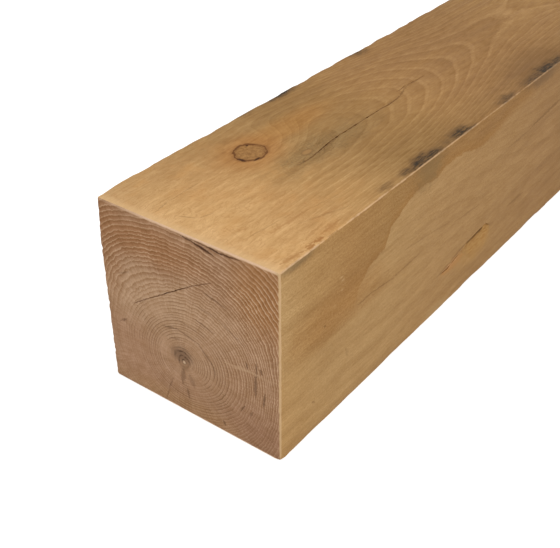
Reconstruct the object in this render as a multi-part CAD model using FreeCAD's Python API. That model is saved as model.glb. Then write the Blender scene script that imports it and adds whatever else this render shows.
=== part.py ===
"""A square oak post, lying on its side as sawn stock.

The post runs along Y, with X across it and Z up. The origin is under its middle, on the surface
that it lies on. The near end is the one at -Y, the right side is the one at +X.
It is one piece of timber. Its four long arrises and its end arrises are eased. It has the
openings that oak gets as it dries: a surface check on the top, two checks in the near end, and a
bark pocket on the right side. One corner of the near end is worn off.
All sizes are in millimetres.
"""

import math
import os

import FreeCAD
import Part

# Overall size
post_width = 150.0
post_height = 150.0
post_length = 1800.0

# Eased edges
arris_radius = 1.5
end_arris_radius = 1.0

# Worn corner: how far it reaches from the near, left, top corner along each edge
worn_across = 3.0
worn_along = 24.0
worn_down = 42.0

# Surface check on the top. Its points are (from the near end, from the left side).
top_check_points = [(118, 82), (130, 81.8), (141, 80.4), (152, 79), (168, 78.2), (184, 78.6)]
top_check_points += [(202, 78.7), (220, 78.8), (233, 80), (250, 79)]
top_check_opening = 0.6
top_check_depth = 14.0

# Short check beside it, further along
side_check_points = [(253, 72.5), (268, 71.5), (284, 72.8), (297, 73.6)]
side_check_opening = 0.4
side_check_depth = 6.0

# Checks in the near end. Their points are (from the left side, up from the underside).
heart_check_points = [(24, 74), (42, 86.2), (62, 100), (80, 112), (97, 121.5)]
heart_check_opening = 0.3
heart_check_depth = 10.0
lower_check_points = [(57, 25), (54, 18.5), (52, 11.5), (50, 4)]
lower_check_opening = 0.3
lower_check_depth = 8.0

# Bark pocket in the right side. Its points are (from the near end, up from the underside).
pocket_mouth = [(238, 39), (248, 43.7), (262, 45), (280, 46), (288, 40), (286, 30), (277, 23)]
pocket_mouth += [(257, 23)]
pocket_floor = [(254, 41.2), (258, 42.6), (267, 43.8), (281, 45), (283, 43.8), (280, 42.4)]
pocket_floor += [(267, 41.6), (258, 40.8)]
pocket_depth = 4.0

# Crack that runs out of the bark pocket towards the near end
tail_points = [(206, 35), (218, 35), (230, 38), (241, 40.5)]
tail_opening = 1.2
tail_depth = 3.0

# How a check is cut: its floor is a share of its opening, and the cutter starts outside the face
floor_share = 0.15
cutter_rise = 1.0


def near_end(across, up, depth):
    """A point under the near end: across from the left side, up from the underside."""
    return FreeCAD.Vector(across - post_width / 2, depth - post_length / 2, up)


def top_side(along, across, depth):
    """A point under the top: along from the near end, across from the left side."""
    return FreeCAD.Vector(across - post_width / 2, along - post_length / 2, post_height - depth)


def right_side(along, up, depth):
    """A point under the right side: along from the near end, up from the underside."""
    return FreeCAD.Vector(post_width / 2 - depth, along - post_length / 2, up)


def closed_wire(points):
    return Part.makePolygon(points + points[:1])


def lens_outline(points, opening):
    """The outline of a crack along points, with its opening in the middle and closed at both ends."""
    last = len(points) - 1
    one_side = []
    other_side = []
    for i in range(1, last):
        before, here, after = points[i - 1], points[i], points[i + 1]
        run = math.hypot(after[0] - before[0], after[1] - before[1])
        aside = ((before[1] - after[1]) / run, (after[0] - before[0]) / run)
        half = opening / 2 * math.sin(math.pi * i / last)
        one_side.append((here[0] + aside[0] * half, here[1] + aside[1] * half))
        other_side.append((here[0] - aside[0] * half, here[1] - aside[1] * half))
    return [points[0]] + one_side + [points[last]] + other_side[::-1]


def hollow(face, mouth, floor, depth):
    """A cutter that narrows from its mouth in a face to its floor, and rises out of the face."""
    outer = closed_wire([face(u, v, -cutter_rise) for u, v in mouth])
    rim = closed_wire([face(u, v, 0) for u, v in mouth])
    bottom = closed_wire([face(u, v, depth) for u, v in floor])
    above = Part.makeLoft([outer, rim], True, True)
    below = Part.makeLoft([rim, bottom], True, True)
    return above.fuse(below)


def check(face, points, opening, depth):
    """A cutter for a drying crack that is V-shaped across and closes at both ends."""
    mouth = lens_outline(points, opening)
    floor = lens_outline(points, opening * floor_share)
    return hollow(face, mouth, floor, depth)


def squared_stock():
    """The sawn and planed post with its arrises eased, before it dries."""
    stock = Part.makeBox(post_width, post_length, post_height)
    stock.translate(FreeCAD.Vector(-post_width / 2, -post_length / 2, 0))
    along = [e for e in stock.Edges if abs(e.tangentAt(e.FirstParameter).y) > 0.5]
    stock = stock.makeFillet(arris_radius, along)
    ends = [e for e in stock.Edges if e.BoundBox.YLength < end_arris_radius]
    return stock.makeFillet(end_arris_radius, ends)


def worn_corner():
    """A cutter that takes the near, left, top corner off along a slanting plane."""

    def point(across, along, down):
        return near_end(across * worn_across, post_height - down * worn_down, along * worn_along)

    corners = [point(-1, -1, -1), point(3, -1, -1), point(-1, 3, -1), point(-1, -1, 3)]
    triangles = [(0, 1, 2), (0, 2, 3), (0, 3, 1), (1, 3, 2)]
    faces = [Part.Face(closed_wire([corners[i] for i in three])) for three in triangles]
    return Part.makeSolid(Part.makeShell(faces))


def dried_post():
    post = squared_stock()
    cutters = [
        worn_corner(),
        check(top_side, top_check_points, top_check_opening, top_check_depth),
        check(top_side, side_check_points, side_check_opening, side_check_depth),
        check(near_end, heart_check_points, heart_check_opening, heart_check_depth),
        check(near_end, lower_check_points, lower_check_opening, lower_check_depth),
        check(right_side, tail_points, tail_opening, tail_depth),
        hollow(right_side, pocket_mouth, pocket_floor, pocket_depth),
    ]
    for cutter in cutters:
        post = post.cut(cutter)
    return post.removeSplitter()


os.makedirs("parts", exist_ok=True)
post = dried_post()
print("solids", len(post.Solids), "valid", post.isValid(), "volume", round(post.Volume), post.BoundBox)
post.exportStep("parts/post.step")
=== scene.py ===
"""A square oak post, lying on its side on a pale studio floor.

The post runs along Y. Its near end is at -Y, its right side at +X, and it lies on its underside.
The wood is one field of growth rings about a pith that runs the length of the post, so the rings in
the ends and the figure on the sides belong together. Sizes in the patterns are millimetres, taken
from the near end (along), the left side (across), and the underside (up) or the top (down).
"""

import math
from functools import partialmethod

import bmesh
import bpy
from bpy.props import FloatProperty, FloatVectorProperty, PointerProperty
from mathutils import Matrix, Vector, noise


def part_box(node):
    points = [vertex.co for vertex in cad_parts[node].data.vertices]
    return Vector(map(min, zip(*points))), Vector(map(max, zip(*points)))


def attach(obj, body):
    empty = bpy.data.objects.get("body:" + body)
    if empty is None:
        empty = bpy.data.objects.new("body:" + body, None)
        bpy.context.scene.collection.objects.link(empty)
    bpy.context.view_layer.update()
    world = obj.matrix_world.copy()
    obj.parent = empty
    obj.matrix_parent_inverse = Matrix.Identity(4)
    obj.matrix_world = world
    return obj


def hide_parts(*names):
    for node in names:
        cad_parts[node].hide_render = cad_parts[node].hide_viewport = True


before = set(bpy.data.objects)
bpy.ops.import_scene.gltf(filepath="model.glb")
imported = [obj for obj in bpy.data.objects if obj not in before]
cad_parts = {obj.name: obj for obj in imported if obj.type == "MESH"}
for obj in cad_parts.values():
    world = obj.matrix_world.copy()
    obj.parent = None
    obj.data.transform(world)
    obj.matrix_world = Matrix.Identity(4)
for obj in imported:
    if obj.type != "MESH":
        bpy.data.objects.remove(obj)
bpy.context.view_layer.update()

bl_info = {
    "name": "Oak Post",
    "version": (1, 0, 0),
    "blender": (4, 5, 0),
    "location": "3D View > Sidebar > Oak Post",
    "description": "Builds a square oak post with its checks, knot and stains, and its studio",
    "category": "Add Mesh",
}

LOW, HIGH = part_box("post")
MM = 0.001
HEIGHT = (HIGH.z - LOW.z) / MM
PITH = (68.5, 45)  # across and up
RAMP_LENGTH = 500  # the colours along a side change within this, in millimetres
ARRIS_BAND = 2.4 * MM  # a point this near two faces is worn with the arris
SKIN = 0.2 * MM  # a point this near a face lies in it
WELD = 1e-6
AS_COLOUR = {"subtype": "COLOR", "size": 3, "min": 0, "max": 1}


def paint(red, green, blue):
    """A display colour, 0 to 255 each, as the linear colour that a shader takes."""
    shares = [part / 255 for part in (red, green, blue)]
    return tuple(s / 12.92 if s <= 0.04045 else ((s + 0.055) / 1.055) ** 2.4 for s in shares)


# ---------------------------------------------------------------- sizes and colours

class OakPostSizes(bpy.types.PropertyGroup):
    """Sizes of the finished post."""

    arris: FloatProperty(
        name="Arris", description="How far the eased long edges reach in", default=1.6 * MM,
        unit="LENGTH")
    end_arris: FloatProperty(
        name="End arris", description="How far the eased edges of the ends reach in",
        default=1.1 * MM, unit="LENGTH")
    near_stretch: FloatProperty(
        name="Near stretch", description="Length at the near end that is modelled finely",
        default=460 * MM, unit="LENGTH")
    fine_step: FloatProperty(
        name="Fine step", description="Spacing of the mesh over the near stretch",
        default=5 * MM, unit="LENGTH")
    coarse_step: FloatProperty(
        name="Coarse step", description="Spacing of the mesh along the rest of the post",
        default=20 * MM, unit="LENGTH")
    saw_wave: FloatProperty(
        name="Saw wave", description="Depth of the saw marks on the left side",
        default=0.35 * MM, unit="LENGTH")
    arris_wear: FloatProperty(
        name="Arris wear", description="How deep the arrises are knocked in places",
        default=0.6 * MM, unit="LENGTH")


class OakPostColours(bpy.types.PropertyGroup):
    """Colours of the wood and the studio."""

    end_dark: FloatVectorProperty(
        name="End grain", description="End grain between the growth lines",
        default=paint(155, 118, 88), **AS_COLOUR)
    end_light: FloatVectorProperty(
        name="Growth line", description="The light growth lines in the end grain",
        default=paint(188, 152, 119), **AS_COLOUR)
    heartwood: FloatVectorProperty(
        name="Heartwood", description="Side grain of the heartwood",
        default=paint(160, 122, 77), **AS_COLOUR)
    sapwood: FloatVectorProperty(
        name="Sapwood", description="Side grain of the paler sapwood",
        default=paint(172, 137, 92), **AS_COLOUR)
    # Painted shade that darkens the deep inside of a drying check
    check_shade: FloatVectorProperty(
        name="Check", description="The dark inside of a drying check",
        default=paint(88, 57, 32), **AS_COLOUR)
    stain: FloatVectorProperty(
        name="Iron stain", description="Blue-black stain along the arrises",
        default=paint(44, 38, 31), **AS_COLOUR)
    # Pale wood with a painted highlight, on the arrises of the ends
    arris_pale: FloatVectorProperty(
        name="Arris", description="Fresh pale wood on the eased arrises",
        default=paint(220, 184, 150), **AS_COLOUR)
    floor: FloatVectorProperty(
        name="Floor", description="The studio floor", default=(0.8, 0.8, 0.8), **AS_COLOUR)


# ---------------------------------------------------------------- node helpers

class Nodes:
    """Places and joins the nodes of one shader tree."""

    def __init__(self, tree):
        self.tree = tree

    def feed(self, socket, value):
        if isinstance(value, bpy.types.NodeSocket):
            self.tree.links.new(value, socket)
        else:
            socket.default_value = value

    def add(self, kind, inputs=None, **settings):
        node = self.tree.nodes.new(kind)
        for name, value in settings.items():
            setattr(node, name, value)
        for name, value in (inputs or {}).items():
            self.feed(node.inputs[name], value)
        return node

    def maths(self, operation, first, second=0, third=0, clamp=False):
        node = self.add("ShaderNodeMath", operation=operation, use_clamp=clamp)
        self.feed(node.inputs[0], first)
        self.feed(node.inputs[1], second)
        self.feed(node.inputs[2], third)
        return node.outputs[0]

    times = partialmethod(maths, "MULTIPLY")
    plus = partialmethod(maths, "ADD")
    minus = partialmethod(maths, "SUBTRACT")
    scale_add = partialmethod(maths, "MULTIPLY_ADD")
    least = partialmethod(maths, "MINIMUM")
    most = partialmethod(maths, "MAXIMUM")

    def gap(self, first, second):
        return self.maths("ABSOLUTE", self.minus(first, second))

    def vector(self, operation, first, second=(0, 0, 0)):
        node = self.add("ShaderNodeVectorMath", operation=operation)
        self.feed(node.inputs[0], first)
        self.feed(node.inputs[1], second)
        return node.outputs["Value" if operation in ("DOT_PRODUCT", "LENGTH") else "Vector"]

    def scaled(self, colour, share):
        node = self.add("ShaderNodeVectorMath", {"Scale": share}, operation="SCALE")
        self.feed(node.inputs[0], colour)
        return node.outputs["Vector"]

    def join(self, x, y, z):
        return self.add("ShaderNodeCombineXYZ", {"X": x, "Y": y, "Z": z}).outputs[0]

    def split(self, vector):
        return self.add("ShaderNodeSeparateXYZ", {"Vector": vector}).outputs

    def depths(self, point):
        """How far inside the nearer face of each pair a point lies, split into X, Y and Z."""
        half = tuple((HIGH - LOW) / MM / 2)
        off = self.vector("ABSOLUTE", self.vector("SUBTRACT", point, half))
        return self.split(self.vector("SUBTRACT", half, off))

    def mix(self, share, first, second):
        """Mixes two colours: each is a node's output, a property, or a tuple of 0 to 255."""
        node = self.add("ShaderNodeMix", data_type="RGBA")
        self.feed(node.inputs[0], share)
        for socket, colour in ((node.inputs[6], first), (node.inputs[7], second)):
            if isinstance(colour, tuple):
                colour = paint(*colour)
            plain = not isinstance(colour, bpy.types.NodeSocket)
            self.feed(socket, (*colour, 1) if plain else colour)
        return node.outputs[2]

    def between(self, share, first, second):
        node = self.add("ShaderNodeMix", data_type="FLOAT")
        self.feed(node.inputs[0], share)
        self.feed(node.inputs[2], first)
        self.feed(node.inputs[3], second)
        return node.outputs[0]

    def ease(self, value, start, end, low=0, high=1):
        """Rises smoothly from low at start to high at end."""
        node = self.add("ShaderNodeMapRange", interpolation_type="SMOOTHSTEP")
        for i, setting in enumerate((value, start, end, low, high)):
            self.feed(node.inputs[i], setting)
        return node.outputs[0]

    def fade(self, distance, softness):
        """1 within a distance of 1 and 0 beyond it, with a soft rim."""
        return self.ease(distance, self.plus(1, softness), self.minus(1, softness))

    def cloud(self, point, scale, detail=2, roughness=0.5):
        """Noise between 0 and 1, about 0.5 on average."""
        return self.add("ShaderNodeTexNoise", {
            "Vector": point, "Scale": scale, "Detail": detail, "Roughness": roughness}).outputs["Fac"]

    def sway(self, point, scale, detail=2, roughness=0.5):
        """Noise about 0."""
        return self.minus(self.cloud(point, scale, detail, roughness), 0.5)

    def grain(self, place, along, across, detail=3, roughness=0.6):
        """Noise between 0 and 1 that changes faster the larger along and across are."""
        return self.cloud(self.vector("MULTIPLY", place, (along, across, 1)), 1, detail, roughness)

    def ramp(self, value, stops):
        """A colour by value, from stops of (place, display colour)."""
        node = self.add("ShaderNodeValToRGB", {"Fac": value})
        elements = node.color_ramp.elements
        for place, _ in stops[2:]:
            elements.new(place)
        for element, (place, colour) in zip(elements, stops):
            element.position = place
            element.color = (*paint(*colour), 1)
        return node.outputs["Color"]

    def curve(self, value, points):
        """A smooth graph through points, which lie between 0 and 1 both ways."""
        node = self.add("ShaderNodeFloatCurve", {"Value": value})
        line = node.mapping.curves[0]
        for point in points[2:]:
            line.points.new(*point)
        for dot, point in zip(line.points, points):
            dot.location = point
        node.mapping.update()
        return node.outputs[0]

    def place(self, group, **inputs):
        """A node group with its inputs set, whose names have spaces for underscores."""
        node = self.add("ShaderNodeGroup", node_tree=group)
        for name, value in inputs.items():
            self.feed(node.inputs[name.replace("_", " ")], value)
        return node


def new_group(name, inputs, outputs):
    """A shader node group with named sockets. Returns it, its nodes, its inputs and its end."""
    group = bpy.data.node_groups.new(name, "ShaderNodeTree")
    for socket, default in inputs.items():
        kind = "NodeSocketVector" if isinstance(default, tuple) else "NodeSocketFloat"
        made = group.interface.new_socket(name=socket, in_out="INPUT", socket_type=kind)
        made.default_value = default
    for socket in outputs:
        group.interface.new_socket(name=socket, in_out="OUTPUT", socket_type="NodeSocketFloat")
    nodes = Nodes(group)
    start = nodes.add("NodeGroupInput").outputs
    end = nodes.add("NodeGroupOutput").inputs
    return group, nodes, start, end


# ---------------------------------------------------------------- patterns of the wood

def growth_rings():
    """Growth rings about the pith: egg-shaped near it and squarer further out, with fluted kinks."""
    group, n, start, end = new_group(
        "Growth Rings",
        {"Point": (0, 0, 0), "Ring Width": 3, "Flute": 1.6, "Wander": 3, "Rise": 16,
         "Line": 0.2},
        ["Line", "Band", "Radius", "Tone", "Fine Line", "Ray"])
    out = n.vector("SUBTRACT", start["Point"], (PITH[0], 0, PITH[1]))
    parts = n.split(out)
    along = parts["Y"]
    angle = n.maths("ARCTAN2", parts["Z"], parts["X"])
    flat = n.join(parts["X"], 0, parts["Z"])
    radius = n.vector("LENGTH", flat)

    def lobe(count, turn, size):
        wave = n.maths("COSINE", n.scale_add(angle, count, -math.radians(turn)))
        return n.times(wave, size)

    inner = n.plus(n.plus(lobe(1, 25, 0.12), lobe(2, 50, 0.07)), 1)
    outer = n.plus(n.plus(lobe(1, 95, 0.11), lobe(4, 0, -0.035)), 0.93)
    shape = n.between(n.ease(radius, 45, 85), inner, outer)
    ring = n.maths("DIVIDE", radius, shape)
    # Fluted kinks that line up along the rays
    facing = n.vector("NORMALIZE", flat)
    slow = n.scale_add(along, 0.004, n.times(radius, 0.012))
    around = n.vector("ADD", n.vector("MULTIPLY", facing, (6.5, 0, 6.5)), n.join(0, slow, 0))
    flute = n.sway(around, 1, 3, 0.6)
    flute = n.times(flute, n.ease(radius, 15, 80))
    ring = n.scale_add(flute, n.times(start["Flute"], 2), ring)
    jags = n.sway(start["Point"], 0.3, 3, 0.6)
    jags = n.times(jags, n.ease(radius, 20, 70, 0.2, 0.9))
    ring = n.scale_add(jags, start["Flute"], ring)
    # The rings rise along the post and wander a little
    wander = n.cloud(n.vector("MULTIPLY", start["Point"], (0.014, 0.006, 0.014)), 1, 2, 0.5)
    wander = n.times(n.minus(wander, 0.5), n.ease(along, 0, 60))
    ring = n.scale_add(wander, n.times(start["Wander"], 2), ring)
    ring = n.plus(ring, n.ease(along, 130, 420, 0, start["Rise"]))
    swell = n.sway(n.join(0, along, 0), 0.004, 1)
    ring = n.scale_add(swell, n.ease(along, 380, 700, 0, 60), ring)
    # A knot pushes the rings out around it
    knot = n.vector("SUBTRACT", start["Point"], (43.3, 106, 150))
    knot = n.vector("LENGTH", n.vector("MULTIPLY", knot, (1, 0.55, 1)))
    ring = n.plus(ring, n.ease(knot, 42, 8, 0, 8))
    uneven = n.cloud(n.join(ring, 0, 0), 0.09, 1)
    ring = n.scale_add(n.minus(uneven, 0.5), 5, ring)
    # Narrow rings near the pith and wider ones outside, Ring Width apart 90 mm out
    grown = n.times(n.maths("POWER", ring, 0.7), 5.42)
    count = n.maths("DIVIDE", grown, start["Ring Width"])
    phase = n.maths("FRACT", count)
    off = n.gap(phase, start["Line"])
    n.feed(end["Line"], n.ease(off, start["Line"], n.times(start["Line"], 0.3)))
    n.feed(end["Band"], n.ease(phase, 0.35, 0.95))
    n.feed(end["Radius"], radius)
    tone = n.add("ShaderNodeTexWhiteNoise", {"W": n.maths("FLOOR", count)}, noise_dimensions="1D")
    n.feed(end["Tone"], tone.outputs["Value"])
    third = n.maths("FRACT", n.times(count, 3))
    n.feed(end["Fine Line"], n.ease(third, 0.2, 1))
    rays = n.vector("MULTIPLY", facing, (48, 0, 48))
    rays = n.vector("ADD", rays, n.join(0, n.times(radius, 0.09), 0))
    n.feed(end["Ray"], n.cloud(rays, 1, 2, 0.6))
    return group


def fibres():
    """Streaks along the grain: Fine is single fibres, Broad soft bands, Fleck short marks."""
    group, n, start, end = new_group("Fibres", {"Point": (0, 0, 0)}, ["Fine", "Broad", "Fleck"])
    for name, across, along in (("Fine", 0.75, 0.09), ("Broad", 0.13, 0.01), ("Fleck", 0.6, 0.14)):
        stretched = n.vector("MULTIPLY", start["Point"], (across, along, across))
        n.feed(end[name], n.cloud(stretched, 1, 3, 0.65))
    return group


def patch():
    """A soft round or oval patch with a ragged rim, in the plane of a face."""
    group, n, start, end = new_group(
        "Patch",
        {"Place": (0, 0, 0), "Centre": (0, 0, 0), "Reach": (10, 10, 1),
         "Softness": 0.4, "Ragged": 0.2, "Grain": 0.1},
        ["Mask", "Distance"])
    away = n.vector("SUBTRACT", start["Place"], start["Centre"])
    away = n.vector("DIVIDE", away, start["Reach"])
    distance = n.vector("LENGTH", away)
    rough = n.sway(start["Place"], start["Grain"], 3, 0.6)
    distance = n.scale_add(rough, n.times(start["Ragged"], 2), distance)
    n.feed(end["Mask"], n.fade(distance, start["Softness"]))
    n.feed(end["Distance"], distance)
    return group


def streak():
    """A line from Start to End in the plane of a face, widest in its middle."""
    group, n, start, end = new_group(
        "Streak",
        {"Place": (0, 0, 0), "Start": (0, 0, 0), "End": (10, 0, 0), "Width": 0.6,
         "Softness": 0.5, "Wander": 0.5},
        ["Mask"])
    shake = n.cloud(start["Place"], 0.25, 2, 0.6)
    shift = n.times(n.minus(shake, 0.5), n.times(start["Wander"], 2))
    place = n.vector("ADD", start["Place"], n.join(shift, shift, 0))
    run = n.vector("SUBTRACT", start["End"], start["Start"])
    away = n.vector("SUBTRACT", place, start["Start"])
    share = n.maths(
        "DIVIDE", n.vector("DOT_PRODUCT", away, run), n.vector("DOT_PRODUCT", run, run), clamp=True)
    nearest = n.scaled(run, share)
    distance = n.vector("LENGTH", n.vector("SUBTRACT", away, nearest))
    swell = n.maths("SINE", n.times(share, math.pi))
    ragged = n.sway(start["Place"], 0.55, 2, 0.7)
    swell = n.scale_add(ragged, 3, swell)
    width = n.times(start["Width"], n.scale_add(n.most(swell, 0), 0.8, 0.1))
    n.feed(end["Mask"], n.fade(n.maths("DIVIDE", distance, width), start["Softness"]))
    return group


def edge_wear():
    """Where a face comes near an arris: Mask is 1 on the arris and fades away from it."""
    group, n, start, end = new_group(
        "Edge Wear", {"Point": (0, 0, 0), "Reach": 1.6, "Ragged": 0.5}, ["Mask"])
    parts = n.depths(start["Point"])
    least = n.least(parts["X"], parts["Y"])
    most = n.most(parts["X"], parts["Y"])
    second = n.most(least, n.least(most, parts["Z"]))
    rough = n.sway(start["Point"], 0.18, 3, 0.6)
    second = n.scale_add(rough, n.times(start["Ragged"], 2), second)
    n.feed(end["Mask"], n.ease(second, start["Reach"], n.times(start["Reach"], 0.4)))
    return group


def pattern_groups():
    return {"rings": growth_rings(), "fibres": fibres(), "patch": patch(), "streak": streak(),
            "edge": edge_wear()}


# ---------------------------------------------------------------- materials

class Finish:
    """One material of the post, with the point in millimetres and the shared patterns at hand."""

    def __init__(self, name, groups):
        self.material = bpy.data.materials.new(name)
        self.material.use_nodes = True
        self.n = Nodes(self.material.node_tree)
        self.groups = groups
        self.shader = self.material.node_tree.nodes["Principled BSDF"]
        self.shader.inputs["Specular IOR Level"].default_value = 0.06
        source = self.n.add("ShaderNodeTexCoord").outputs["Object"]
        mapped = self.n.add("ShaderNodeMapping", {
            "Vector": source, "Location": tuple(-LOW / MM), "Scale": (1 / MM,) * 3})
        self.point = mapped.outputs[0]
        self.parts = self.n.split(self.point)
        self.colour = None

    def lay_out(self, across, along):
        """Sets the two measures in which the marks of this face are placed."""
        self.place = self.n.join(across, along, 0)

    def rings(self, **settings):
        return self.n.place(self.groups["rings"], Point=self.point, **settings).outputs

    def fibres(self):
        return self.n.place(self.groups["fibres"], Point=self.point).outputs

    def patch(self, centre, reach, softness=0.4, ragged=0.2, grain=0.1):
        return self.n.place(
            self.groups["patch"], Place=self.place, Centre=(*centre, 0), Reach=(*reach, 1),
            Softness=softness, Ragged=ragged, Grain=grain).outputs["Mask"]

    def streak(self, start, end, width=0.6, softness=0.5, wander=0.5):
        return self.n.place(
            self.groups["streak"], Place=self.place, Start=(*start, 0), End=(*end, 0),
            Width=width, Softness=softness, Wander=wander).outputs["Mask"]

    def edge(self, reach, ragged):
        return self.n.place(
            self.groups["edge"], Point=self.point, Reach=reach, Ragged=ragged).outputs["Mask"]

    def tint(self, mask, colour, strength=1):
        """Lays a colour over what is there, where mask says."""
        if strength != 1:
            mask = self.n.times(mask, strength)
        self.colour = self.n.mix(mask, self.colour, colour)

    def tint_patches(self, kind, rows):
        """Lays patches of one softness, raggedness and grain: centre, reach, colour, strength."""
        for centre, reach, colour, strength in rows:
            self.tint(self.patch(centre, reach, *kind), colour, strength)

    def tint_streaks(self, colour, softness, wander, rows):
        """Lays streaks of one colour: where each starts and ends, its width and its strength."""
        for x, y, to_x, to_y, width, strength in rows:
            self.tint(self.streak((x, y), (to_x, to_y), width, softness, wander), colour, strength)

    def shade(self, value, amount, middle=0.5):
        """Lightens and darkens what is there by value about its middle. The dark is warmer."""
        swing = self.n.times(self.n.minus(value, middle), amount)
        gain = self.n.vector("ADD", self.n.scaled((1.7, 2.2, 3), swing), (1, 1, 1))
        self.colour = self.n.vector("MULTIPLY", self.colour, gain)

    def bright_arris(self, bright):
        """Pale fresh wood along the arrises of a side, with a painted highlight on it."""
        self.tint(self.n.times(self.edge(1.35, 0.7), bright), (207, 172, 138))

    def finish(self, roughness, rough_by, height, depth, strength=0.3, warmth=(1, 0.98, 0.9)):
        """Joins the colour, the roughness between two values and the bump to the shader."""
        n = self.n
        n.feed(self.shader.inputs["Base Color"], n.vector("MULTIPLY", self.colour, warmth))
        n.feed(self.shader.inputs["Roughness"], n.ease(rough_by, 0.2, 0.8, *roughness))
        bump = n.add("ShaderNodeBump", {"Height": height, "Strength": strength, "Distance": depth})
        n.feed(self.shader.inputs["Normal"], bump.outputs[0])
        return self.material


def end_grain(colours, groups, name, marked):
    """End grain: light growth lines on brown. The near end also has its pith, shakes and smears."""
    f = Finish(name, groups)
    n = f.n
    across, up = f.parts["X"], f.parts["Z"]
    f.lay_out(across, n.minus(HEIGHT, up))
    rings = f.rings(Ring_Width=3.05, Flute=2.6, Wander=3, Line=0.16)
    speck = n.cloud(f.point, 0.85, 3, 0.7)
    broad = n.cloud(f.point, 0.035, 3, 0.55)
    clear = n.ease(n.cloud(f.point, 0.03, 2, 0.5), 0.35, 0.6, 0.45, 1)
    out = n.ease(rings["Radius"], 25, 75, 0.35, 1)
    line = n.times(rings["Line"], n.times(clear, out))
    mottle = n.times(n.ease(broad, 0.3, 0.7), 0.6)
    f.colour = n.mix(mottle, colours.end_dark, (162, 126, 95))
    contrast = 1
    if marked:
        calm = f.patch((30, 116), (52, 46), 0.5, 0.2, 0.04)
        corner = f.patch((124, 136), (44, 26), 0.5, 0.2, 0.04)
        contrast = n.minus(1, n.times(n.most(calm, n.times(corner, 0.6)), 0.8))
        busy = f.patch((122, 50), (44, 62), 0.6, 0.2, 0.04)
        line = n.times(n.times(line, contrast), n.scale_add(busy, 0.45, 0.72))
        f.tint_patches((0.6, 0.3, 0.04), [
            ((38, 68), (42, 26), (176, 142, 110), 0.75), ((84, 62), (34, 20), (176, 142, 110), 0.55),
            ((34, 118), (40, 26), (168, 130, 100), 0.7), ((72, 98), (34, 26), (170, 135, 103), 0.6),
            ((70, 148), (64, 12), (166, 128, 88), 0.5)])
        f.tint_patches((0.6, 0.4, 0.05), [
            ((45, 20), (44, 14), (150, 105, 68), 0.75), ((140, 24), (26, 30), (156, 110, 68), 0.8),
            ((4, 28), (14, 40), (146, 103, 68), 0.6), ((140, 140), (30, 24), (146, 108, 82), 0.6)])
    f.shade(rings["Tone"], 0.05)
    band = n.ease(rings["Radius"], 20, 60, -0.06, -0.15)
    f.shade(rings["Band"], n.times(band, contrast), 0.35)
    f.tint(line, colours.end_light, 0.92)
    f.shade(rings["Ray"], 0.26)
    f.shade(speck, 0.3)
    f.shade(n.cloud(f.point, 0.11, 3, 0.6), 0.3)
    if marked:
        near_end_marks(f, rings)
    # Pale wood and a painted highlight along the arrises of the end, stronger towards the right
    edge = f.edge(n.ease(up, 146, 148.5, 1.8, 2.5), 0.8)
    bright = n.ease(across, 0, 60, 0.2, 0.95)
    pale = n.mix(n.ease(across, 144, 149), colours.arris_pale, (198, 165, 122))
    f.tint(n.times(edge, bright), pale)
    height = n.plus(n.times(line, 0.6), speck)
    return f.finish((0.62, 0.78), speck, height, 0.0004, 0.35, (1.04, 1.045, 1.055))


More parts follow.
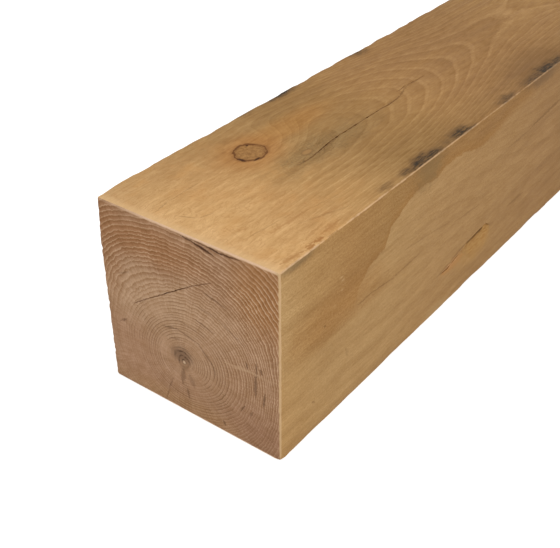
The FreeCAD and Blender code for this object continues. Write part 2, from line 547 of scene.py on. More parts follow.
def near_end_marks(f, rings):
    """The pith, ring shakes, smears and saw scratches in the near end."""
    n = f.n
    brown = (78, 50, 33)
    # Dark thin latewood arcs part of the way round, above and right of the pith
    thin = n.maths("POWER", rings["Band"], 5)
    zone = n.times(n.ease(rings["Radius"], 7, 14), n.ease(rings["Radius"], 62, 34))
    zone = n.times(zone, n.ease(n.cloud(f.place, 0.055, 2, 0.6), 0.42, 0.58))
    f.tint(n.times(thin, zone), (100, 70, 46), 0.6)
    shifted = n.scale_add(n.cloud(f.place, 0.12, 2, 0.6), 5, rings["Radius"])
    arcs = n.ease(n.maths("SINE", n.times(shifted, 1.9)), -0.5, 0.9)
    f.tint_patches((0.6, 0.4, 0.15), [((67, 100.5), (7.5, 6), (116, 88, 66), 0.7)])
    broken = n.scale_add(n.cloud(f.place, 0.4, 2, 0.7), 2.4, -0.6, clamp=True)
    broken = n.times(broken, n.scale_add(arcs, 0.85, 0.2))
    f.tint(n.times(f.patch((68.5, 101), (9, 8), 0.5, 0.3, 0.2), broken), (82, 60, 44), 0.85)
    f.tint(n.times(f.patch((69, 99), (5, 3), 0.6, 0.5, 0.3), broken), (74, 54, 40), 0.5)
    f.tint_patches((0.6, 0.4, 0.3), [((69, 105.2), (1.2, 1.2), (204, 172, 138), 0.85)])
    f.tint_patches((0.6, 0.6, 0.2), [((68.5, 111), (3.5, 2.4), (112, 86, 64), 0.35)])
    f.tint_streaks(brown, 0.7, 1, [
        (68, 112, 66, 125, 2.6, 0.4), (73, 114, 77, 124, 2.6, 0.28), (70, 127, 71.5, 137, 1, 0.4),
        (14, 95, 17, 92, 1.2, 0.5), (10, 97, 16, 92, 0.8, 0.4), (101, 139, 103, 144, 1, 0.55),
        (58, 124, 52, 138, 0.6, 0.35), (52, 138, 49, 149, 0.6, 0.3)])
    f.tint_streaks(brown, 0.6, 0.35, [
        (74, 2.6, 84, 3.6, 0.8, 0.8), (82, 3.4, 95, 6.2, 0.9, 0.95), (87, 4.6, 100, 7.3, 1.2, 0.9),
        (80, 1.6, 97, 3.2, 0.6, 0.7), (95, 2.6, 107, 4.2, 0.9, 0.95), (105, 3.4, 116, 3.6, 0.8, 0.85),
        (112, 3.4, 121, 2.4, 0.6, 0.6), (131, 74, 131, 88, 0.7, 0.5),
        (130.4, 86, 129.7, 104, 1.5, 0.5), (137.5, 97, 136, 110, 0.8, 0.6),
        (123, 78, 124, 84, 0.8, 0.5), (134, 78, 135.5, 83, 0.9, 0.55), (117, 123, 121, 116, 0.8, 0.5),
        (125, 124, 127, 118, 0.8, 0.35), (52, 82, 66, 78.6, 0.9, 0.45), (64, 78.6, 84, 83, 0.8, 0.4),
        (82, 82, 96, 97, 0.9, 0.4), (95, 96, 97, 104, 0.7, 0.35), (64, 70, 90, 75, 0.6, 0.3),
        (80, 63, 98, 68, 0.8, 0.35), (76, 51, 104, 55, 0.6, 0.25), (102, 55, 122, 67, 0.7, 0.3),
        (88, 38, 108, 43, 0.8, 0.4), (56, 90, 68, 86, 0.7, 0.3), (14, 55, 24, 50, 0.8, 0.3)])
    # A dark line painted along the heart check, as painted shade in the crack
    f.tint_streaks((96, 60, 36), 0.6, 1, [
        (24, 76, 44, 62, 0.5, 0.5), (42, 63.5, 64, 49, 0.5, 0.5), (62, 50, 82, 37, 0.5, 0.5),
        (80, 38, 98, 28, 0.5, 0.5)])
    f.tint_streaks((188, 154, 120), 0.8, 0.8, [(104, 87.5, 134, 84.5, 1.5, 0.55)])
    f.tint_streaks((180, 146, 112), 0.8, 0.8, [(128, 86, 150, 84, 1.2, 0.35)])
    turned = n.add("ShaderNodeMapping", {
        "Vector": f.place, "Rotation": (0, 0, math.radians(-52)), "Scale": (0.05, 1.3, 1)}).outputs[0]
    scratch = n.cloud(turned, 1, 2, 0.5)
    zone = f.patch((98, 62), (40, 44), 0.5, 0.3, 0.04)
    f.shade(n.between(zone, 0.5, scratch), 0.08)


def top_wood(colours, groups):
    """The top: golden at the near end and browner beyond, a change that is partly painted light
    falling off along the post. It has a knot, a stain and a long check.
    """
    f = Finish("top_wood", groups)
    n = f.n
    across, along = f.parts["X"], f.parts["Y"]
    f.lay_out(along, across)
    knot = n.place(
        groups["patch"], Place=f.place, Centre=(106.6, 43.3, 0), Reach=(13, 11.2, 1), Softness=0.05,
        Ragged=0.26, Grain=0.085).outputs
    rings = f.rings(Ring_Width=1.5, Flute=0.45, Wander=2, Rise=14, Line=0.15)
    threads = f.fibres()
    # The wood's colour along the top, with painted light that is brightest at the near end and falls off
    # along it
    drift = n.scale_add(n.sway(f.place, 0.02, 3, 0.6), 50, along)
    f.colour = n.ramp(n.maths("DIVIDE", drift, RAMP_LENGTH), [
        (0, (211, 170, 123)), (0.04, (205, 163, 113)), (0.12, (194, 152, 103)),
        (0.2, (180, 141, 93)), (0.27, (168, 131, 85)), (0.33, (156, 120, 75)), (0.42, (156, 119, 74)),
        (0.5, (163, 124, 79)), (0.6, (158, 119, 76)), (0.8, (152, 114, 72)), (1, (160, 122, 78))])
    left = n.between(
        n.ease(along, 90, 150), n.ease(across, 0, 65, 0.83, 1),
        n.ease(across, 0, 65, 0.95, 1))
    right = n.times(n.ease(across, 100, 150), n.ease(along, 110, 170))
    f.colour = n.scaled(f.colour, n.times(left, n.scale_add(right, -0.16, 0.985)))
    f.tint_patches((0.6, 0.4, 0.04), [((150, 40), (52, 12), (168, 120, 66), 0.65)])
    f.tint_patches((0.6, 0.3, 0.06), [((106, 43), (26, 21), (168, 118, 68), 0.8)])
    stain = f.patch((146, 79), (50, 13), 0.7, 0.7, 0.05)
    dust = n.ease(n.cloud(f.place, 0.6, 3, 0.75), 0.38, 0.62, 0.55, 1)
    f.tint(n.times(stain, dust), (138, 109, 71), 0.95)
    curl = n.maths("FRACT", n.times(n.cloud(f.place, 0.045, 1.5, 0.5), 16))
    curl = n.ease(n.gap(curl, 0.5), 0.2, 0.06)
    f.tint(n.times(curl, stain), (122, 94, 60), 0.35)
    clear = n.ease(along, 40, 120, 0.25, 1)
    figure = n.times(rings["Line"], clear)
    fine = n.times(n.minus(rings["Fine Line"], 0.5), clear)
    bead = n.ease(n.grain(f.place, 0.45, 1.1, 2, 0.6), 0.35, 0.65, 0.3, 1)
    f.shade(rings["Tone"], 0.015)
    plain = n.most(n.ease(across, 70, 100), n.ease(along, 180, 250))
    f.shade(n.times(figure, bead), n.scale_add(plain, 0.065, 0.012), 0.2)
    f.shade(n.times(rings["Band"], clear), -0.045)
    f.shade(fine, -0.02, 0)
    f.shade(threads["Broad"], 0.2)
    f.shade(threads["Fine"], 0.24)
    f.shade(threads["Fleck"], n.ease(along, 20, 120, 0.12, 0.19))
    f.shade(n.grain(f.place, 0.05, 0.16), 0.26)
    # Warm clouds and thin brown threads, plainest at the near end
    fresh = n.ease(along, 150, 60)
    warm = n.ease(n.grain(f.place, 0.035, 0.06), 0.45, 0.7)
    f.tint(n.times(warm, fresh), (196, 148, 94), 0.5)
    bend = n.add("ShaderNodeTexNoise", {"Vector": f.place, "Scale": 0.05, "Detail": 1})
    bent = n.vector("ADD", f.place, n.scaled(bend.outputs["Color"], 26))
    thread = n.grain(bent, 0.045, 0.4, 3, 0.65)
    thread = n.ease(n.gap(thread, 0.56), 0.035, 0)
    f.tint(n.times(thread, n.scale_add(fresh, 0.6, 0.15)), (160, 110, 64), 0.55)
    # The knot: mottled inside a thin dark rim that opens in places
    inside = n.ease(knot["Distance"], 1, 0.9)
    mottle = n.cloud(f.place, 0.35, 3, 0.7)
    face = n.mix(n.ease(mottle, 0.35, 0.65), (132, 94, 55), (166, 124, 76))
    f.colour = n.mix(n.times(inside, 0.85), f.colour, face)
    rim = n.gap(knot["Distance"], 1)
    thick = n.ease(n.cloud(f.place, 0.13, 2, 0.6), 0.35, 0.6, 0.04, 0.13)
    f.tint(n.ease(rim, 0.3, 0), (120, 78, 42), 0.5)
    f.tint(n.ease(rim, thick, n.times(thick, 0.3)), (96, 56, 26), 0.8)
    f.tint_patches((0.5, 0.3, 0.4), [
        ((94.5, 46), (1.4, 3.4), (62, 34, 18), 0.9), ((113.5, 35.4), (1.3, 0.9), (62, 34, 18), 0.9),
        ((102, 53.6), (3.4, 1), (62, 34, 18), 0.9)])
    # A pin knot, a dot and a curl in the stain
    f.tint_patches((0.3, 0.2, 0.2), [((131, 75), (6, 3.4), (122, 92, 58), 0.8)])
    f.tint_patches((0.4, 0.2, 0.2), [
        ((131, 75), (4.6, 2.3), (164, 126, 82), 0.9), ((118.5, 81.5), (1.3, 1), (112, 84, 54), 0.7)])
    # The first six lines run along the top check and the side check, as painted shade in the cracks
    f.tint_streaks((108, 74, 42), 0.6, 1.2, [
        (108, 81, 128, 82.8, 0.5, 0.5), (124, 82.6, 141, 80.4, 0.8, 0.6),
        (138, 80.8, 168, 78.2, 0.9, 0.5), (220, 79, 250, 79, 0.7, 0.6),
        (246, 79, 268, 73.5, 0.8, 0.55), (253, 72.5, 297, 73.6, 0.6, 0.45),
        (138, 84, 147, 80, 0.5, 0.4), (140, 88, 152, 85, 0.5, 0.35), (56, 127, 90, 141, 0.7, 0.2),
        (50, 126, 76, 136, 0.5, 0.2), (8, 46, 24, 43, 0.6, 0.3), (22, 43.5, 58, 43, 0.5, 0.25),
        (12, 58, 19, 73, 0.5, 0.35), (19, 73, 30, 76, 0.5, 0.3), (10, 110, 60, 116, 0.5, 0.18),
        (60, 120, 110, 128, 0.5, 0.2)])
    f.tint_streaks((156, 104, 56), 0.9, 2, [
        (39, 146.8, 48, 147, 1.8, 0.75), (29, 147.6, 38, 147.6, 1.3, 0.75),
        (31, 145.6, 41, 145.8, 1.1, 0.6), (48, 144.5, 70, 143.5, 2.2, 0.5),
        (8, 144, 28, 147, 2.2, 0.5), (36, 140, 60, 138, 1.2, 0.35), (30, 119, 72, 121, 1.4, 0.35),
        (60, 131, 92, 136, 1.4, 0.3)])
    # A pale band along the near arris: pale wood and a painted highlight
    f.tint(n.ease(along, 8, 1), (214, 178, 134), 0.6)
    # Blue-black stains along both arrises, taken up by the pores
    f.tint_patches((0.6, 0.5, 0.06), [((372, 140), (44, 24), (118, 86, 54), 0.5)])
    ink = 0
    for centre, reach, strength in (
            ((121, 145), (8, 4), 0.45), ((150, 145.5), (9, 3.5), 0.8), ((162, 146.5), (12, 4.5), 1),
            ((169, 142.5), (8, 4), 0.8), ((180, 147), (14, 4.5), 1), ((177, 141), (6, 3), 0.7),
            ((204, 146), (16, 4), 0.5), ((222, 146), (12, 5.5), 1), ((230, 149), (12, 3), 0.8),
            ((295, 147), (13, 5), 0.7), ((347, 148), (22, 6), 0.8), ((370, 147), (20, 7), 1.05),
            ((388, 148), (20, 6), 0.95),
            ((154, 0), (8, 4), 0.6), ((198, 1), (16, 5), 1), ((306, 0), (11, 8), 0.8)):
        ink = n.most(ink, n.times(f.patch(centre, reach, 0.95, 0.6, 0.12), strength))
    pores = n.grain(f.place, 0.12, 0.6, 3, 0.65)
    ink = n.scale_add(n.minus(pores, 0.5), n.times(ink, 2.6), ink)
    f.tint(n.ease(ink, 0, 0.65), (110, 82, 53), 0.75)
    f.tint(n.ease(ink, 0.4, 1.3), colours.stain, 0.95)
    # Painted highlight on the pale arrises, strongest towards the right and the near end
    bright = n.times(n.ease(across, 60, 140, 0.1, 0.75), n.ease(along, 400, 0, 0.4, 1))
    f.bright_arris(bright)
    height = n.plus(threads["Fine"], n.times(figure, -0.3))
    return f.finish((0.5, 0.66), threads["Broad"], height, 0.0003)


def right_wood(colours, groups):
    """The right side: darker heartwood above a crisp edge, paler sapwood below it.
    Both are lighter at the near end, partly as painted light falling off along the post.
    """
    f = Finish("right_wood", groups)
    n = f.n
    along, up = f.parts["Y"], f.parts["Z"]
    down = n.minus(HEIGHT, up)
    f.lay_out(along, down)
    rings = f.rings(Ring_Width=3, Flute=2, Wander=3, Line=0.16)
    threads = f.fibres()
    # Both ramps hold the wood's colour and painted light, lightest at the near end and falling off along
    # the post
    pale = n.ramp(n.maths("DIVIDE", along, RAMP_LENGTH), [
        (0, (174, 137, 91)), (0.1, (171, 136, 92)), (0.25, (171, 136, 92)), (0.4, (166, 130, 87)),
        (0.6, (161, 125, 83)), (0.75, (155, 119, 79)), (1, (150, 114, 74))])
    heart = n.ramp(n.maths("DIVIDE", along, RAMP_LENGTH), [
        (0, (179, 144, 99)), (0.06, (170, 133, 87)), (0.15, (161, 122, 76)), (0.25, (154, 117, 72)),
        (0.5, (150, 112, 69)), (0.8, (147, 111, 71)), (1, (145, 109, 70))])
    edge_line = n.curve(n.maths("DIVIDE", along, RAMP_LENGTH), [
        (0, 0.8), (0.12, 0.78), (0.165, 0.7), (0.172, 0.6), (0.184, 0.55), (0.2, 0.48),
        (0.226, 0.45), (0.24, 0.4), (0.248, 0.31), (0.274, 0.25), (0.294, 0.2), (0.33, 0.17),
        (0.364, 0.2), (0.39, 0.16), (0.45, 0.165), (0.5, 0.225), (0.56, 0.19), (0.59, 0.14),
        (0.66, 0.1), (0.77, 0.03), (1, 0)])
    jag = n.sway(f.place, 0.22, 3, 0.65)
    over = n.minus(n.scale_add(edge_line, 100, n.times(jag, 7)), down)
    crisp = n.times(n.ease(along, 70, 90), n.ease(along, 330, 230))
    soft = n.between(crisp, 9, 0.7)
    inside = n.ease(over, n.times(soft, -1), soft)
    f.colour = n.mix(inside, pale, heart)
    lip = n.times(inside, n.ease(over, 11, 1))
    f.tint(n.times(lip, n.ease(along, 60, 110)), (150, 108, 60), 0.5)
    f.tint_patches((0.6, 0.4, 0.05), [
        ((62, 62), (50, 16), (158, 116, 69), 0.65), ((105, 74), (50, 7), (156, 118, 74), 0.5)])
    dust = n.grain(f.place, 0.55, 0.8, 3, 0.75)
    f.shade(rings["Tone"], 0.015)
    f.shade(rings["Band"], -0.025)
    f.shade(rings["Fine Line"], -0.015)
    f.shade(threads["Broad"], 0.3)
    f.shade(threads["Fine"], 0.2)
    f.shade(dust, n.between(inside, 0.36, 0.52))
    f.shade(n.grain(f.place, 0.03, 0.08), 0.16)
    f.tint_streaks((112, 78, 46), 0.7, 1.2, [
        (84, 73, 108, 72.8, 0.8, 0.5), (104, 72.8, 134, 76.4, 0.7, 0.45), (130, 76, 172, 75, 0.8, 0.4),
        (145, 60, 190, 66, 0.8, 0.25), (185, 65, 215, 71, 0.8, 0.25), (220, 74, 262, 78, 1.2, 0.3),
        (300, 46, 350, 45, 1.2, 0.3), (345, 44, 410, 39, 1.8, 0.5), (320, 107, 352, 107.5, 1.6, 0.35),
        (46, 66.5, 49, 67.5, 1, 0.6), (34, 122, 38, 125, 0.9, 0.4), (74, 102, 76, 110, 2.2, 0.22),
        (200, 114.5, 226, 110.5, 1.5, 0.4), (222, 110, 250, 105.6, 1.3, 0.5),
        (262, 122, 276, 114, 2, 0.3)])
    # The torn wood about the bark pocket: orange tan, with a pale crease below it
    f.tint_streaks((176, 127, 78), 0.6, 3, [(206, 117, 256, 113, 5, 0.7)])
    f.tint_streaks((196, 146, 104), 0.6, 2, [(212, 114.5, 236, 113, 1.2, 0.6)])
    f.tint_streaks((186, 150, 108), 0.7, 2, [(246, 128, 290, 118, 2.2, 0.7)])
    for centre, strength in (((65, 38.5), 0.4), ((66.5, 41.5), 0.4), ((66, 49), 0.25), ((58, 57), 0.15)):
        f.tint(f.patch(centre, (1.6, 0.7), 0.5, 0.3, 0.4), (204, 172, 132), strength)
    f.tint_patches((0.6, 0.4, 0.08), [((262, 119), (26, 11), (170, 130, 78), 0.6)])
    f.tint_patches((0.7, 0.9, 0.15), [((172, 7), (16, 13), (126, 101, 66), 0.6)])
    f.tint_patches((0.6, 0.6, 0.15), [((18, 1.5), (15, 3.5), (112, 92, 66), 0.55)])
    f.tint_patches((0.6, 0.5, 0.08), [((360, 2), (30, 7), (104, 84, 66), 0.5)])
    f.tint_patches((0.5, 0.3, 0.08), [((205, 148), (18, 7), (176, 145, 104), 0.5)])
    # Painted highlight on the pale arrises, strongest towards the top and the near end
    bright = n.times(n.ease(up, 0, 90, 0.35, 0.8), n.ease(along, 400, 0, 0.4, 1))
    f.bright_arris(bright)
    height = n.plus(threads["Fine"], n.times(threads["Fleck"], 0.5))
    return f.finish((0.52, 0.68), threads["Broad"], height, 0.0003)


def plain_wood(colours, groups):
    """The left side and the underside: rougher sawn, with the same figure."""
    f = Finish("plain_wood", groups)
    n = f.n
    rings = f.rings(Ring_Width=3, Flute=2.6, Wander=3, Line=0.16)
    threads = f.fibres()
    broad = n.cloud(f.point, 0.012, 3, 0.6)
    f.colour = n.mix(n.ease(broad, 0.35, 0.65), colours.heartwood, colours.sapwood)
    f.shade(rings["Tone"], 0.02)
    f.shade(rings["Line"], 0.04, 0.3)
    f.shade(rings["Band"], -0.05)
    f.shade(rings["Fine Line"], -0.03)
    f.shade(threads["Broad"], 0.2)
    f.shade(threads["Fine"], 0.35)
    f.shade(threads["Fleck"], 0.22)
    # Pale arrises with an even painted highlight
    f.bright_arris(0.35)
    return f.finish((0.6, 0.76), threads["Broad"], threads["Fine"], 0.0004, 0.35)


def check_wall(colours, groups):
    """The raw wood inside a check: brown at its lip, with painted shade darker the deeper it goes."""
    f = Finish("check_wall", groups)
    n = f.n
    gaps = n.depths(f.point)
    depth = n.least(gaps["X"], n.least(gaps["Y"], gaps["Z"]))
    mottle = n.cloud(f.point, 0.8, 2, 0.6)
    lip = n.mix(mottle, (126, 84, 48), (150, 106, 66))
    # Painted shade: darker the deeper into the check
    f.colour = n.mix(n.ease(depth, 0.3, 2.5), lip, colours.check_shade)
    return f.finish((0.8, 0.9), mottle, mottle, 0.0005, 0.4)


def pocket_wood(groups):
    """The bark pocket: pale torn fibres, with painted shade darkening its deepest part."""
    f = Finish("pocket_wood", groups)
    n = f.n
    depth = n.minus((HIGH.x - LOW.x) / MM, f.parts["X"])
    threads = f.fibres()
    tan = n.mix(n.ease(threads["Fleck"], 0.35, 0.65), (160, 118, 70), (176, 138, 88))
    tan = n.mix(n.ease(depth, 0.2, 1.8), (166, 128, 82), tan)
    # Painted shade: the deepest part, under the steep upper wall, is dark brown
    f.colour = n.mix(n.ease(depth, 2.9, 3.6), tan, (86, 53, 31))
    tail = n.times(n.ease(f.parts["Y"], 244, 238), n.ease(depth, 0.1, 0.7))
    f.tint(tail, (132, 84, 46), 0.8)
    f.shade(threads["Fine"], 0.2)
    return f.finish((0.7, 0.85), threads["Fine"], threads["Fine"], 0.0003)


# ---------------------------------------------------------------- the timber

def near_end(across, up, depth):
    """A point under the near end, from its left side and its underside, in millimetres."""
    return LOW + Vector((across, depth, up)) * MM


def top_side(along, across, depth):
    """A point under the top, from its near end and its left side, in millimetres."""
    return Vector((LOW.x + across * MM, LOW.y + along * MM, HIGH.z - depth * MM))


def right_side(along, up, depth):
    """A point under the right side, from its near end and its underside, in millimetres."""
    return Vector((HIGH.x - depth * MM, LOW.y + along * MM, LOW.z + up * MM))


def squared_stock(sizes):
    """The post with eased arrises."""
    bm = bmesh.new()
    bmesh.ops.create_cube(bm, size=1)
    bmesh.ops.scale(bm, vec=HIGH - LOW, verts=bm.verts)
    bmesh.ops.translate(bm, vec=(LOW + HIGH) / 2, verts=bm.verts)
    long_edges = [e for e in bm.edges if abs(e.verts[0].co.y - e.verts[1].co.y) > sizes.near_stretch]
    bmesh.ops.bevel(
        bm, geom=long_edges, offset=sizes.arris, offset_type="OFFSET", segments=3, profile=0.5,
        affect="EDGES", material=-1)
    square = 1.2  # radians, less than the turn at a square edge
    end_edges = [
        e for e in bm.edges if abs(e.verts[0].co.y - e.verts[1].co.y) < MM
        and abs(e.calc_face_angle(0)) > square]
    bmesh.ops.bevel(
        bm, geom=end_edges, offset=sizes.end_arris, offset_type="OFFSET", segments=2, profile=0.5,
        affect="EDGES", material=-1)
    return bm


def slice_stock(bm, sizes):
    """Cuts the faces into a grid, fine over the near stretch and coarse beyond."""

    def cut(axis, place):
        normal = Vector((axis == 0, axis == 1, axis == 2))
        origin = Vector((0, 0, 0))
        origin[axis] = place
        bmesh.ops.bisect_plane(
            bm, geom=bm.verts[:] + bm.edges[:] + bm.faces[:], dist=WELD, plane_co=origin,
            plane_no=normal)

    for axis in (0, 2):
        steps = round((HIGH[axis] - LOW[axis]) / sizes.fine_step)
        for i in range(1, steps):
            cut(axis, LOW[axis] + (HIGH[axis] - LOW[axis]) * i / steps)
    fine = round(sizes.near_stretch / sizes.fine_step)
    for i in range(1, fine + 1):
        cut(1, LOW.y + sizes.near_stretch * i / fine)
    rest = HIGH.y - LOW.y - sizes.near_stretch
    coarse = round(rest / sizes.coarse_step)
    for i in range(1, coarse):
        cut(1, LOW.y + sizes.near_stretch + rest * i / coarse)


def slice_rim(bm):
    """Cuts the rim between the near end and the left side finely, for the notches in it."""
    cuts, wide, long = 60, 6 * MM, 11 * MM
    for i in range(1, cuts):
        place = LOW.z + (HIGH.z - LOW.z) * i / cuts
        rim = [f for f in bm.faces if f.calc_center_median().x < LOW.x + wide
               and f.calc_center_median().y < LOW.y + long]
        edges = {e for f in rim for e in f.edges}
        verts = {v for f in rim for v in f.verts}
        bmesh.ops.bisect_plane(
            bm, geom=[*verts, *edges, *rim], dist=WELD, plane_co=(0, 0, place), plane_no=(0, 0, 1))


def wear_corner(bm):
    """Takes the near, left, top corner off along a slanting plane."""
    corner = Vector((LOW.x, LOW.y, HIGH.z))
    worn_across, worn_along, worn_down = 3 * MM, 24 * MM, 42 * MM
    across = corner + Vector((worn_across, 0, 0))
    along = corner + Vector((0, worn_along, 0))
    down = corner - Vector((0, 0, worn_down))
    normal = (along - across).cross(down - across).normalized()
    if normal.dot(corner - across) < 0:
        normal.negate()
    cut = bmesh.ops.bisect_plane(
        bm, geom=bm.verts[:] + bm.edges[:] + bm.faces[:], dist=WELD, plane_co=across,
        plane_no=normal, clear_outer=True)
    rim = [e for e in cut["geom_cut"] if isinstance(e, bmesh.types.BMEdge)]
    filled = bmesh.ops.holes_fill(bm, edges=rim, sides=0)
    bmesh.ops.triangulate(bm, faces=filled["faces"])


def weather(bm, sizes):
    """Knocks the arrises, lays saw waves on the left side and makes the sides and the top a little
    uneven.
    """
    notch_depth, dish_depth, saw_pitch = 1.6 * MM, 0.25 * MM, 2.1
    middle_height = (LOW.z + HIGH.z) / 2
    for v in bm.verts:
        left, right, under, above = (
            v.co.x - LOW.x, HIGH.x - v.co.x, v.co.z - LOW.z, HIGH.z - v.co.z)
        from_end = v.co.y - LOW.y
        point = v.co / MM
        inward = Vector((0, 0, 0))
        # The long arrises are knocked here and there, and the left one of the top most
        if sorted((left, right, under, above))[1] < ARRIS_BAND and from_end > 2 * MM:
            knock = max(0, noise.noise(point * 0.045 + Vector((7, 0, 3))) * 1.6 - 0.1)
            ripple = 0.25 + 0.5 * noise.noise(point * 0.16)
            wear = max(0, min(1, knock + ripple * 0.5))
            if left < ARRIS_BAND and above < ARRIS_BAND and from_end > 30 * MM:
                wear += max(0, min(0.7, noise.noise(point * 0.09 + Vector((0, 5, 0))) * 2.5 - 0.1))
            middle = Vector((0, v.co.y, middle_height))
            inward += (middle - v.co).normalized() * sizes.arris_wear * wear
        # Notches in the left rim of the near end
        if from_end < 6 * MM and left < ARRIS_BAND:
            inward.x += notch_depth * max(0, noise.noise(Vector((9, 4, point.z * 0.24))) + 0.1)
        # The near, right, lower corner is rubbed off
        if right < ARRIS_BAND and under < ARRIS_BAND:
            inward += Vector((-0.7, 0, 0.7)) * MM * max(0, 1 - from_end / (5 * MM))
        if left < SKIN:
            wave = 0.5 + 0.5 * math.sin(point.y / saw_pitch + 2 * noise.noise(point * 0.02))
            inward += Vector((1, 0, 0)) * sizes.saw_wave * wave
        dish = 0.5 + 0.5 * noise.noise(point * 0.012)
        for gap, side in ((left, (1, 0, 0)), (right, (-1, 0, 0)), (above, (0, 0, -1))):
            if gap < SKIN:
                inward += Vector(side) * dish_depth * dish
        v.co += inward


def crack_outline(points, opening):
    """Stations along a crack: centre, unit aside and half width, with small kinks between points."""
    steps = 8
    stations = []
    for (u, v), (next_u, next_v) in zip(points, points[1:]):
        for step in range(steps):
            share = step / steps
            stations.append((u * (1 - share) + next_u * share, v * (1 - share) + next_v * share))
    stations.append(points[-1])
    last = len(stations) - 1
    made = []
    for i, (u, v) in enumerate(stations):
        before, after = stations[max(i - 1, 0)], stations[min(i + 1, last)]
        run = math.hypot(after[0] - before[0], after[1] - before[1])
        aside = ((before[1] - after[1]) / run, (after[0] - before[0]) / run)
        swell = math.sin(math.pi * i / last)
        kink = noise.noise(Vector((u, v, 5)) * 0.35) * 0.35 * swell
        uneven = max(0.4, 0.8 + 1.3 * noise.noise(Vector((u, v, 1)) * 0.4))
        half = opening / 2 * swell ** 0.6 * uneven
        made.append(((u + aside[0] * kink, v + aside[1] * kink), aside, half))
    return made


def crack_cutter(face, points, opening, depth, name, material):
    """A wedge that cuts a crack along points: its mouth is the outline, its root a thin line."""
    stations = crack_outline(points, opening)
    last = len(stations) - 1
    bm = bmesh.new()
    bmesh.ops.create_grid(bm, x_segments=last, y_segments=1, size=1)
    grown = bmesh.ops.extrude_face_region(bm, geom=bm.faces[:])["geom"]
    root = {v for v in grown if isinstance(v, bmesh.types.BMVert)}
    for v in bm.verts:
        (along, across), aside, half = stations[round((v.co.x + 1) / 2 * last)]
        half *= math.copysign(0.2 if v in root else 1 + 1 / depth, v.co.y)
        v.co = face(along + aside[0] * half, across + aside[1] * half, depth if v in root else -1)
    bmesh.ops.remove_doubles(bm, verts=bm.verts, dist=WELD)
    bmesh.ops.triangulate(bm, faces=bm.faces[:])
    bmesh.ops.recalc_face_normals(bm, faces=bm.faces[:])
    return as_object(bm, name, [material])


def hollow_cutter(face, mouth, floor, depth, name, material):
    """A hollow that narrows from its mouth to its floor."""
    bm = bmesh.new()
    rim = [bm.verts.new(face(u, v, 0)) for u, v in mouth]
    made = bmesh.ops.contextual_create(bm, geom=rim)["faces"]
    grown = bmesh.ops.extrude_face_region(bm, geom=made)["geom"]
    root = [v for v in grown if isinstance(v, bmesh.types.BMVert)]
    places = {tuple(round(c, 7) for c in v.co): i for i, v in enumerate(rim)}
    for v in root:
        u, w = floor[places[tuple(round(c, 7) for c in v.co)]]
        v.co = face(u, w, depth)
    for v, (u, w), (fu, fw) in zip(rim, mouth, floor):
        v.co = face(u - (fu - u) / depth, w - (fw - w) / depth, -1)
    bmesh.ops.triangulate(bm, faces=bm.faces[:])
    walls = [e for e in bm.edges if (e.verts[0].co - e.verts[1].co).length > 1.5 * MM]
    bmesh.ops.subdivide_edges(bm, edges=walls, cuts=4, use_grid_fill=True)
    for v in bm.verts:
        if HIGH.x - v.co.x > SKIN:
            v.co.x += noise.noise(v.co / MM * 0.2) * 0.25 * MM
    bmesh.ops.recalc_face_normals(bm, faces=bm.faces[:])
    return as_object(bm, name, [material])


def as_object(bm, name, materials):
    """Turns a bmesh into an object in the scene."""
    mesh = bpy.data.meshes.new(name)
    bm.to_mesh(mesh)
    bm.free()
    for material in materials:
        mesh.materials.append(material)
    made = bpy.data.objects.new(name, mesh)
    bpy.context.scene.collection.objects.link(made)
    return made


def hollows(wall, bark):
    """The cutters of the checks, the tail of the bark pocket and the pocket itself."""
    made = [crack_cutter(*row) for row in (
        (top_side, [
            (118, 82), (130, 81.8), (141, 80.4), (152, 79), (168, 78.2), (184, 78.6), (202, 78.7),
            (220, 78.8), (233, 80), (250, 79)], 0.95, 14, "top_check", wall),
        (top_side, [(253, 72.5), (268, 71.5), (284, 72.8), (297, 73.6)], 0.5, 6, "side_check", wall),
        (near_end, [(24, 74), (42, 86.2), (62, 100), (80, 112), (97, 121.5)], 0.42, 10,
         "heart_check", wall),
        (near_end, [(57, 25), (54, 18.5), (52, 11.5), (50, 4)], 0.15, 8, "lower_check", wall),
        (right_side, [(206, 35), (218, 35), (230, 38), (241, 40.5)], 1.4, 2.2, "pocket_tail", bark))]
    mouth = [(238, 39), (248, 43.7), (262, 45), (280, 46), (288, 40), (286, 30), (277, 23), (257, 23)]
    floor = [
        (254, 41.2), (258, 42.6), (267, 43.8), (281, 45), (283, 43.8), (280, 42.4), (267, 41.6),
        (258, 40.8)]
    return [*made, hollow_cutter(right_side, mouth, floor, 4, "bark_pocket", bark)]


def cut_away(timber, cutters):
    """Cuts each cutter out of the timber and keeps the result as the timber's own mesh."""
    for cutter in cutters:
        joint = timber.modifiers.new("cut", "BOOLEAN")
        joint.operation = "DIFFERENCE"
        joint.solver = "MANIFOLD"
        joint.object = cutter
        bpy.context.view_layer.update()
        graph = bpy.context.evaluated_depsgraph_get()
        mesh = bpy.data.meshes.new_from_object(timber.evaluated_get(graph), depsgraph=graph)
        timber.modifiers.remove(joint)
        old, timber.data = timber.data, mesh
        bpy.data.meshes.remove(old)
        spent = cutter.data
        bpy.data.objects.remove(cutter)
        bpy.data.meshes.remove(spent)


def side_of(normal):
    """Which face of the post a normal belongs to, as an index of its materials."""
    sizes = [normal.z, normal.x, -normal.y, normal.y, -normal.x, -normal.z]
    return (0, 1, 2, 3, 4, 4)[sizes.index(max(sizes))]


